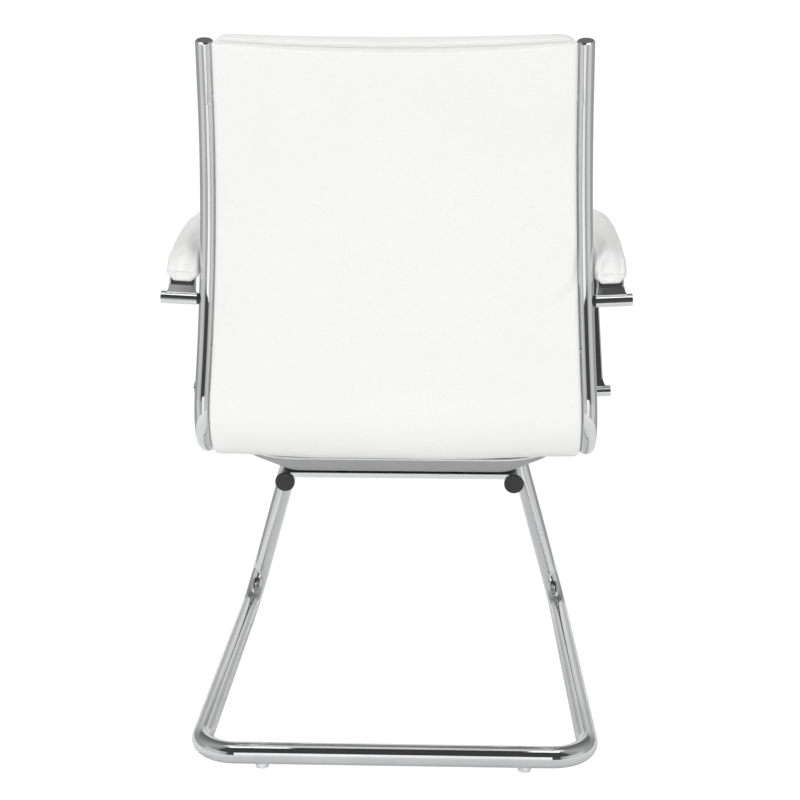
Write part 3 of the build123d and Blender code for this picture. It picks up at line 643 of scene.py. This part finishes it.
# Creases and dents: place up the back and across, heading, length, width and depth of each
waist = back_at_height(waist_height)
cover_marks = [
    (waist - 0.022, -0.214, 143, 0.019, 0.0036, 0.0058),
    (waist - 0.030, -0.208, 143, 0.017, 0.0052, -0.0022),
    (waist + 0.006, -0.227, 96, 0.026, 0.0040, 0.0034),
    (waist, 0.221, 90, 0.030, 0.010, 0.0009),
    (0.062, 0.205, 15, 0.030, 0.016, 0.0022),
    (0.062, -0.205, -15, 0.030, 0.016, 0.0022),
    (0.10, 0.02, 8, 0.12, 0.03, 0.0007),
]


def cover_at(s, x, n):
    dent = sum(groove(s, x, *mark) for mark in cover_marks)
    dent -= hip_sag * (1 - ease(abs(x), *sag_across)) * (1 - ease(s, *sag_up))
    dent -= sum(unevenness(x, s, wave) for wave in cover_waves)
    return place(s + top_lift(s, x), x, -n + dent * ease(n, 0.0, pad_back))


cover_stations = []
for s in stations_between(cover_low, cover_top, (cover_low, cover_top), cover_step, cover_fine):
    tangent = pad_half(s) + side_gap
    rim = 1 - fullness(min(s - cover_low, cover_top - s) + stitch / 2, cover_rim_run)
    section = ring(
        tangent + squeeze - cover_rim_draw * rim,
        -cover_wrap,
        pad_back + cover_gap + cover_sheet - cover_rim_drop * rim,
        cover_crown,
        cover_inner_round,
        cover_round,
        rows=cover_rows,
    )
    cover_stations.append((s, squeezed(section, tangent)))
rear_cover = cushion("rear_cover", cover_stations, cover_at, "leather", steps=cover_rows)[0]
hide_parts("back_cover")
smoothed(rear_cover)

# Leather of the panels: gathers along the seams, looser between them, and only over the front
front_from = (0.008, 0.022)
gather_run = 0.016
gather_across = 75
gather_along = 9
loose_run = 0.03

# While the panels fill out, their points come free over these depths and distances from a seam
free_depth = (0.004, 0.016)
free_seam = (0.001, 0.008)


# Height of a panel's leather at a place; the gathers have a pattern number and a depth
def panel_height(s, x, n, seams, gathers, loose):
    pattern, depth = gathers
    near = to_seam(s, seams)
    front = ease(n, *front_from)
    gather = exp(-near / gather_run) * depth
    pucker = gather * noise.noise(Vector((x * gather_across, s * gather_along, pattern))) * front
    return n + pucker + unevenness(x, s, loose) * front * ease(near, 0.0, loose_run)


# Share by which a panel's point is free to fill out
def panel_free(s, n, seams):
    return ease(n, *free_depth) * ease(to_seam(s, seams), *free_seam)


# Back cushion: three sewn panels and a boxed top, whose strip shows over the rear cover
back_seams = (mitre_at + mitre_gap, *back_channels)
back_front = 0.034
top_front = 0.026
back_crown = 0.009
back_swell = 0.0004
back_panel_run = 0.034
back_gathers = (1.7, 0.0011)
back_loose = (2.1, 0.09, 0.0016)
corner_loose = (4.4, 0.03, 0.0006)
corner_run = 0.06
top_bulge = 0.0022
top_roll = 0.015
roll_side = 0.010
roll_front = 0.012
roll_back = 0.011
roll_corner = 0.006
strip_below = 0.001
strip_above = 0.0008
strip_full = 0.0038
strip_run = 0.006
top_held_from = 0.03
top_held_to = 0.012


def back_at(s, x, n):
    half = pad_half(s)
    corner = unevenness(x, s, corner_loose) * ease(n, *front_from) * ease(abs(x), half - corner_run, half)
    height = panel_height(s, x, n, back_seams, back_gathers, back_loose)
    return place(s + top_lift(s, x), x, height + corner)


back_stations = []
for s in stations_between(back_seams[0], back_end, back_seams, pad_step, fine_steps):
    roll = max(0.0, (s - (back_end - top_roll)) / top_roll)
    drop = 1 - sqrt(max(0.0, 1 - roll ** 2))
    full = fullness(to_seam(s, back_seams) + stitch, back_panel_run)
    tangent = pad_half(s) + side_gap
    half = tangent + squeeze * full - pinch * (1 - full) - roll_side * drop
    share = max(0.0, (s - back_end / 2) / (back_end / 2))
    front = back_front + (top_front - back_front) * share
    front -= channel_depth * (1 - full)
    front -= roll_front * drop
    strip = ease(s, cover_top - strip_below, cover_top + strip_above)
    behind = cover_wrap - (cover_wrap + pad_back) * strip
    behind += roll_back * drop - strip_full * ease(s, cover_top, cover_top + strip_run)
    crown = back_crown * (crown_held + crown_free * full)
    section = ring(half, behind, front, crown, heel_round, pad_round - roll_corner * drop, back_swell)
    back_stations.append((s, squeezed(section, tangent)))
back_pad, back_spots = cushion("back_pad", back_stations, back_at, "leather", (0.0, top_bulge))
held = []
for s, x, n in back_spots:
    top_held = ease(s, back_end - top_held_from, back_end - top_held_to)
    held.append(1 - panel_free(s, n, back_seams) * (1 - top_held))
puff(back_pad, held, pressure=3.0, reach=0.006, growth=0.012)
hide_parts("back_cushion")
smoothed(back_pad)

# Seat cushion: hip, rear panel, front panel and a rounded nose over the front bend
seat_seams = (-seat_channel, mitre_at - mitre_gap)
seat_front = 0.034
seat_crown = 0.011
seat_swell = 0.0006
seat_panel_run = 0.036
seat_gathers = (5.7, 0.0012)
seat_loose = (6.1, 0.10, 0.0020)
slab_from = (0.02, 0.10)
slab_heel = 0.011
nose_bulge = 0.003
nose_side = 0.010
nose_front = 0.016
nose_lift = 0.8
nose_corner = 0.009


def seat_at(s, x, n):
    return place(s, x, panel_height(s, x, n, seat_seams, seat_gathers, seat_loose))


seat_stations = []
for s in stations_between(-seat_end, seat_seams[1], seat_seams, pad_step, fine_steps):
    full = fullness(to_seam(s, seat_seams) + stitch, seat_panel_run)
    drop = ease(-s, *slab_from)
    nose = max(0.0, (-s - seat_run) / (seat_end - seat_run))
    tangent = pad_half(s) + side_gap
    half = tangent + squeeze * full - pinch * (1 - full) - nose_side * nose ** 6
    behind = -pad_back - (slab_depth - pad_back) * drop * (1 - nose ** 2 * nose_lift)
    front = seat_front - channel_depth * (1 - full) - nose_front * nose ** 4
    crown = seat_crown * (crown_held + crown_free * full) * (1 - nose / 2)
    heel = heel_round + slab_heel * drop * (1 - nose)
    corner = pad_round - nose_corner * nose ** 2
    section = ring(half, behind, front, crown, heel, corner, seat_swell * drop)
    seat_stations.append((s, squeezed(section, tangent)))
seat_pad, seat_spots = cushion("seat_pad", seat_stations, seat_at, "leather", (nose_bulge, 0.0))
held = [1 - panel_free(s, n, seat_seams) for s, x, n in seat_spots]
puff(seat_pad, held, pressure=3.0, reach=0.006, growth=0.014)
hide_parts("seat_cushion")
smoothed(seat_pad)

# Arm pads: leather sleeves round the arm bands, stuffed above and sewn below
arm_rise = 0.015
arm_rear_bend = 0.032
arm_rear_turn = 72
arm_arch_radius = 0.560
arm_arch_turn = 27
arm_front_bend = 0.060
arm_front_turn = 60
arm_pad_turn = 24
arm_pad_rear_turn = 33
arm_back_at = 0.246
arm_offset = 0.032
arm_half = 0.020
arm_slack = 0.0003
arm_below = 0.009
arm_above = 0.0165
arm_crown = 0.004
arm_corner = 0.007
arm_swell = 0.0008
arm_end = 0.005
arm_bulges = (0.007, 0.005)
arm_step = 0.0035
arm_fine = (0.0008, 0.002)
arm_core = Vector((0, 0.004))
arm_line = bent_line(
    on_line(back_line, arm_back_at)[0],
    pi / 2,
    arm_rise,
    (arm_rear_bend, arm_rear_turn),
    (arm_arch_radius, arm_arch_turn),
    (arm_front_bend, arm_front_turn),
)
pad_from = arm_rise + arm_rear_bend * radians(arm_pad_rear_turn) - arm_end
pad_to = (
    arm_rise
    + arm_rear_bend * radians(arm_rear_turn)
    + arm_arch_radius * radians(arm_arch_turn)
    + arm_front_bend * radians(arm_pad_turn)
    + arm_end
)

# A sleeve draws in at its ends and fills out away from them
end_trim = 0.0026
end_trim_run = 0.006
under_trim = 0.6
arm_full = 0.0012
arm_full_run = 0.04

# Folds of a sleeve: gathers at its ends, the crease over its rear bend, its loose leather and its seam
arm_gather = 0.0009
arm_gather_run = 0.012
arm_gathers = 210
arm_crease_at = 0.050
arm_crease_width = 0.0030
arm_crease_from = (-0.004, 0.008)
arm_loose = 0.0009
arm_loose_size = 0.045
arm_loose_from = (0.004, 0.03)
arm_seam = 0.0016
arm_under = -0.004

# While a sleeve fills out, its points come free over these depths and distances from its ends
arm_free_depth = (-0.004, 0.004)
arm_free_end = (0.002, 0.012)


# Distance along a sleeve to its nearer end
def to_end(s):
    return min(s - pad_from, pad_to - s)


# Place on an arm: s along its band, x away from the chair, n off its outer face; side is 1 left, -1 right
def arm_place(side, s, x, n):
    point, heading = on_line(arm_line, s)
    u = point.x + sin(heading) * n
    v = point.y - cos(heading) * n
    away = arm_offset + x
    out = rail_spacing / 2 - v * sin(rail_tilt) + away * cos(rail_tilt)
    return Vector((side * out, hip_y + u, hip_height + v * cos(rail_tilt) + away * sin(rail_tilt)))


# Place on a folded sleeve, for a pattern number and the slant and depth of its crease
def arm_at(side, pattern, slant, depth):
    def at(s, x, n):
        near = to_end(s)
        folds = noise.noise(Vector((x * arm_gathers, n * arm_gathers, pattern)))
        gather = exp(-near / arm_gather_run) * arm_gather * folds
        across = (s - arm_crease_at - x * slant) / arm_crease_width
        crease = depth * exp(-(across ** 2)) * ease(n, *arm_crease_from)
        loose = unevenness(x, s, (pattern, arm_loose_size, arm_loose)) * ease(near, *arm_loose_from)
        seam = arm_seam * exp(-((x / arm_seam) ** 2)) if n < arm_under else 0.0
        away = Vector((x, n)) - arm_core
        away = away.normalized() if away.length > 1e-6 else Vector((0, 0))
        puffed = gather + loose - crease
        inner = max(x + away.x * puffed, -arm_half - arm_slack)
        return arm_place(side, s, inner, n + away.y * puffed + seam)

    return at


arm_stations = []
for s in stations_between(pad_from, pad_to, (pad_from, pad_to), arm_step, arm_fine):
    trim = end_trim * (1 - fullness(to_end(s) + stitch, end_trim_run))
    section = ring(
        arm_half - trim,
        -arm_below + trim * under_trim,
        arm_above - trim,
        arm_crown + arm_full * fullness(to_end(s), arm_full_run),
        arm_corner - trim / 2,
        arm_corner - trim / 2,
        arm_swell,
        arm_rows,
    )
    arm_stations.append((s, section))

# Side, name, solid, pattern number, and slant and depth of the crease of each sleeve
arm_sleeves = (
    (1, "arm_sleeve_left", "arm_pad_left", 3.3, -0.6, 0.0007),
    (-1, "arm_sleeve_right", "arm_pad_right", 8.6, 1.0, 0.0018),
)
for side, name, node, pattern, slant, depth in arm_sleeves:
    folded = arm_at(side, pattern, slant, depth)
    sleeve, sleeve_spots = cushion(name, arm_stations, folded, "leather", arm_bulges, arm_rows, True)
    held = []
    for s, x, n in sleeve_spots:
        free = ease(n, *arm_free_depth) * ease(to_end(s), *arm_free_end)
        held.append(1 - free * ease(x, -arm_half, -arm_half / 2))
    puff(sleeve, held, pressure=1.0, reach=0.0010, growth=0.004)
    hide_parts(node)
    smoothed(sleeve)

# Dust cover: grey cloth drawn over the seat's drawn-in belly, with a leather piping round its rim
belly_width = 0.336
belly_rear = 0.104
belly_front = 0.396
belly_half_most = 0.229
belly_front_most = 0.434
front_corner = 0.040
rear_corner = 0.028
least_corner = 0.004
side_flare = 1.5
rear_flare = 1.7
front_flare = 0.9
rear_round = 1.25
belly_floor = -0.0833
cover_rim = -0.0309
round_steps = 8
run_steps = 14
tray_depth = cover_rim - belly_floor
floor_insets = (0.130, 0.110, 0.085, 0.060, 0.038, 0.020, 0.010, 0.004, 0.001)
wall_rises = (0.0008, 0.003, 0.007, 0.014, 0.022, 0.030, 0.038, tray_depth, 0.050, 0.056)
cloth_wave = (9.2, 0.045, 0.0007)
cloth_slack = 0.0007
slack_run = 0.08
wave_run = 0.02
wall_draw = 0.0016
wall_half = 0.18
cloth_thickness = 0.0008


# Place under the seat: x across, d forward from the hip, n up
def under_seat(x, d, n):
    y = -hip_radius * sin(pitch) - d * cos(pitch) + n * sin(pitch)
    z = -hip_radius * cos(pitch) + d * sin(pitch) + n * cos(pitch)
    return Vector((x, hip_y + y, hip_height + z))


# Rounded rectangle of the belly at a rise over its floor, drawn in by an inset: pairs of x and d
def belly_outline(rise, inset):
    half = min(belly_half_most, belly_width / 2 + side_flare * rise) - inset
    rear = belly_rear - rear_flare * rise + inset
    front = min(belly_front_most, belly_front + front_flare * rise) - inset
    fore = max(least_corner, front_corner + rise / 2 - inset)
    aft = max(least_corner, rear_corner + rear_round * rise - inset)
    points = []
    corners = (
        (half - fore, front - fore, fore, 0),
        (fore - half, front - fore, fore, 90),
        (aft - half, rear + aft, aft, 180),
        (half - aft, rear + aft, aft, 270),
    )
    for k, (x, d, radius, start) in enumerate(corners):
        arc = [radians(start + 90 * i / round_steps) for i in range(round_steps + 1)]
        points += [(x + radius * cos(a), d + radius * sin(a)) for a in arc]
        next_x, next_d, next_radius, next_start = corners[(k + 1) % 4]
        opening = radians(next_start)
        last_x = next_x + next_radius * cos(opening)
        last_d = next_d + next_radius * sin(opening)
        first_x, first_d = points[-1]
        for i in range(1, run_steps):
            share = i / run_steps
            points.append((first_x + (last_x - first_x) * share, first_d + (last_d - first_d) * share))
    return points


# The cloth hangs a little slack over the floor of the belly and is drawn in over its walls
tray_rings = [(0.0, inset) for inset in floor_insets] + [(rise, 0.0) for rise in wall_rises]
tray_points = []
for rise, inset in tray_rings:
    for x, d in belly_outline(rise, inset):
        wave = unevenness(x, d, cloth_wave)
        if rise:
            draw = wall_draw * sin(pi * min(1.0, rise / tray_depth))
            x *= 1 + (wave - draw) / wall_half
            n = belly_floor + rise
        else:
            slack = cloth_slack * ease(inset, 0.0, slack_run)
            n = belly_floor - slack + wave * ease(inset, 0.0, wave_run)
        tray_points.append(under_seat(x, d, n))
ring_size = len(belly_outline(0.0, 0.0))
tray_faces = [tuple(range(ring_size))]
for low in range(0, (len(tray_rings) - 1) * ring_size, ring_size):
    for i in range(ring_size):
        j = (i + 1) % ring_size
        tray_faces.append((low + i, low + j, low + ring_size + j, low + ring_size + i))
dust_cloth = piece("dust_cloth", tray_points, tray_faces, "dust_cloth")
sheet = dust_cloth.modifiers.new("sheet", "SOLIDIFY")
sheet.thickness = cloth_thickness
sheet.offset = -1
smoothed(dust_cloth)
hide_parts("dust_cover")

# Piping: a round leather cord along the cloth's rim
piping_radius = 0.0012
piping_out = 0.0008
piping_sides = 10
piping_up = Vector((0.0, 0.12, 1.0))
rim_path = [under_seat(x, d, cover_rim) for x, d in belly_outline(tray_depth, -piping_out)]
piping_points = []
piping_faces = []
for i, spot in enumerate(rim_path):
    following = (i + 1) % len(rim_path)
    along = (rim_path[following] - rim_path[i - 1]).normalized()
    across = along.cross(piping_up).normalized()
    rise = across.cross(along)
    low = i * piping_sides
    high = following * piping_sides
    for k in range(piping_sides):
        turn = 2 * pi * k / piping_sides
        piping_points.append(spot + across * piping_radius * cos(turn) + rise * piping_radius * sin(turn))
        j = (k + 1) % piping_sides
        piping_faces.append((low + k, low + j, high + j, high + k))
piece("belly_piping", piping_points, piping_faces, "leather")

# Floor
floor_radius = 1.1
floor_gap = 0.0002
bpy.ops.mesh.primitive_circle_add(vertices=96, radius=floor_radius, fill_type="NGON")
floor = bpy.context.object
floor.name = "studio_floor"
floor.location.z = -floor_gap


def floor_sockets(finish, at):
    mottle = finish.noise(at, 3.0, 3.0)
    return {
        "Base Color": finish.mix(mottle, (0.90, 0.90, 0.90, 1), (0.93, 0.93, 0.93, 1)),
        "Roughness": 0.7,
        "Specular IOR Level": 0.1,
    }


floor.data.materials.append(material("pale_floor", floor_sockets))
floor.visible_camera = False

# Cards: one upright between the chair and the camera, and one flat above each arm
fill_half = 0.38
fill_y = bar_y + 1.14
fill_low = -0.30
fill_high = 0.54
fill_glow = 0.6
arm_card_inner = 0.24
arm_card_outer = 0.50
arm_card_near = bar_y + 0.06
arm_card_far = bar_y + 0.26
arm_card_z = 1.10
arm_card_glow = 1.2


# Glowing white card between two opposite corners, which the camera doesn't see and which casts no shadow
def card(name, low, high, glow):
    def sockets(finish, at):
        mottle = finish.noise(at, 2.0, 3.0)
        return {
            "Base Color": finish.mix(mottle, (0.80, 0.80, 0.80, 1), (0.86, 0.86, 0.86, 1)),
            "Roughness": 0.8,
            "Emission Color": (1.0, 1.0, 1.0, 1.0),
            "Emission Strength": glow,
        }

    mesh = bpy.data.meshes.new(name)
    corners = [low, (high[0], low[1], low[2]), high, (low[0], high[1], high[2])]
    mesh.from_pydata(corners, [], [(0, 1, 2, 3)])
    mesh.materials.append(material(name, sockets))
    made = bpy.data.objects.new(name, mesh)
    bpy.context.scene.collection.objects.link(made)
    made.visible_camera = False
    made.visible_shadow = False
    return made


card("fill_card", (-fill_half, fill_y, fill_low), (fill_half, fill_y, fill_high), fill_glow)
for way, side_name in ((1, "left"), (-1, "right")):
    near_corner = (way * arm_card_inner, arm_card_near, arm_card_z)
    far_corner = (way * arm_card_outer, arm_card_far, arm_card_z)
    arm_card = card("arm_card_" + side_name, near_corner, far_corner, arm_card_glow)
    arm_card.visible_diffuse = False

# Studio around the chair: pale walls, dark above and behind the photographer, a soft box overhead
studio = bpy.data.worlds.new("studio")
studio.use_nodes = True
bpy.context.scene.world = studio
around = Finish(studio.node_tree)
direction = around.add("ShaderNodeTexCoord", {}, {}, "Generated")
axes = around.add("ShaderNodeSeparateXYZ", {}, {"Vector": direction})
to_left = Value(around, axes.socket.node.outputs["X"])
to_back = Value(around, axes.socket.node.outputs["Y"])
up = Value(around, axes.socket.node.outputs["Z"])

# Brightness round the chair, by turn: 0 is behind the photographer and 1 is beyond the chair
around_turn = abs(to_left.math("ARCTAN2", to_back)) / pi
near_floor = ((0.0, 0.35), (0.01, 0.35), (0.02, 0.10), (0.05, 0.10), (0.06, 0.50), (0.18, 0.55))
near_floor += ((0.26, 0.8), (0.42, 0.8), (0.48, 0.5), (0.72, 0.38), (0.86, 0.5), (0.92, 0.95), (1.0, 1.0))
overhead = ((0.0, 0.07), (0.12, 0.08), (0.15, 0.45), (0.26, 0.72), (0.44, 0.72), (0.5, 0.45))
overhead += ((0.75, 0.35), (0.88, 0.55), (0.94, 0.85), (1.0, 0.9))
loft = ((0.0, 0.06), (0.25, 0.07), (0.32, 0.35), (0.5, 0.5), (0.7, 0.3), (0.85, 0.18), (1.0, 0.18))
floor_edge = (-0.10, -0.04)
loft_edge = (0.36, 0.50)
box_edge = (0.93, 0.96)
box_side = (-0.05, 0.05)
box_glow = 0.75
backdrop_glow = 1.05


def round_about(levels):
    stops = [(position, (level, level, level, 1.0)) for position, level in levels]
    return around.add("ShaderNodeValToRGB", {"stops": stops}, {"Fac": around_turn})


raised = up.step(*floor_edge)
aloft = up.step(*loft_edge)
soft_box = up.step(*box_edge) * (1 - to_back.step(*box_side))
seen = around.add("ShaderNodeLightPath", {}, {}, "Is Camera Ray")
walls = round_about(near_floor) * (1 - raised) + round_about(overhead) * raised
brightness = walls * (1 - aloft) + round_about(loft) * aloft + soft_box * box_glow
shown = brightness * (1 - seen) + seen * backdrop_glow
backdrop = around.add("ShaderNodeBackground", {}, {"Color": (1.0, 1.0, 1.0, 1.0), "Strength": shown})
around.add("ShaderNodeOutputWorld", {}, {"Surface": backdrop})

chair_middle = Vector((0, 0, 0.5))


# Soft studio lamp that faces the chair and doesn't show in the chrome
def lamp(name, at, size, power):
    data = bpy.data.lights.new(name, "AREA")
    data.shape = "DISK"
    data.size = size
    data.energy = power
    made = bpy.data.objects.new(name, data)
    bpy.context.scene.collection.objects.link(made)
    made.location = at
    made.rotation_euler = (chair_middle - Vector(at)).to_track_quat("-Z", "Y").to_euler()
    made.visible_glossy = False


lamp("lamp_left", (1.8, 2.6, 1.4), size=1.6, power=37)
lamp("lamp_right", (-1.8, 2.6, 1.4), size=1.6, power=24)
lamp("lamp_front", (0.4, -2.8, 2.2), size=1.8, power=48)
lamp("lamp_low", (-0.2, 2.2, 0.12), size=0.8, power=8.5)
lamp("lamp_top", (0, 0.4, 3.0), size=2.2, power=26)

# Camera at the photograph's place
camera_yaw = 0.029
camera_pitch = 0.219
camera_roll = 0.002
camera_at = Vector((-0.0585, bar_y + 1.732, 0.875))
ahead = cos(camera_pitch)
forward = Vector((sin(camera_yaw) * ahead, -cos(camera_yaw) * ahead, -sin(camera_pitch)))
camera_data = bpy.data.cameras.new("camera")
camera_data.lens = 65.25
camera_data.sensor_width = 36.0
camera = bpy.data.objects.new("camera", camera_data)
bpy.context.scene.collection.objects.link(camera)
camera.location = camera_at
aim = forward.to_track_quat("-Z", "Y").to_matrix() @ Matrix.Rotation(camera_roll, 3, "Z")
camera.rotation_euler = aim.to_euler()
bpy.context.scene.camera = camera
bpy.context.scene.view_settings.view_transform = "Standard"
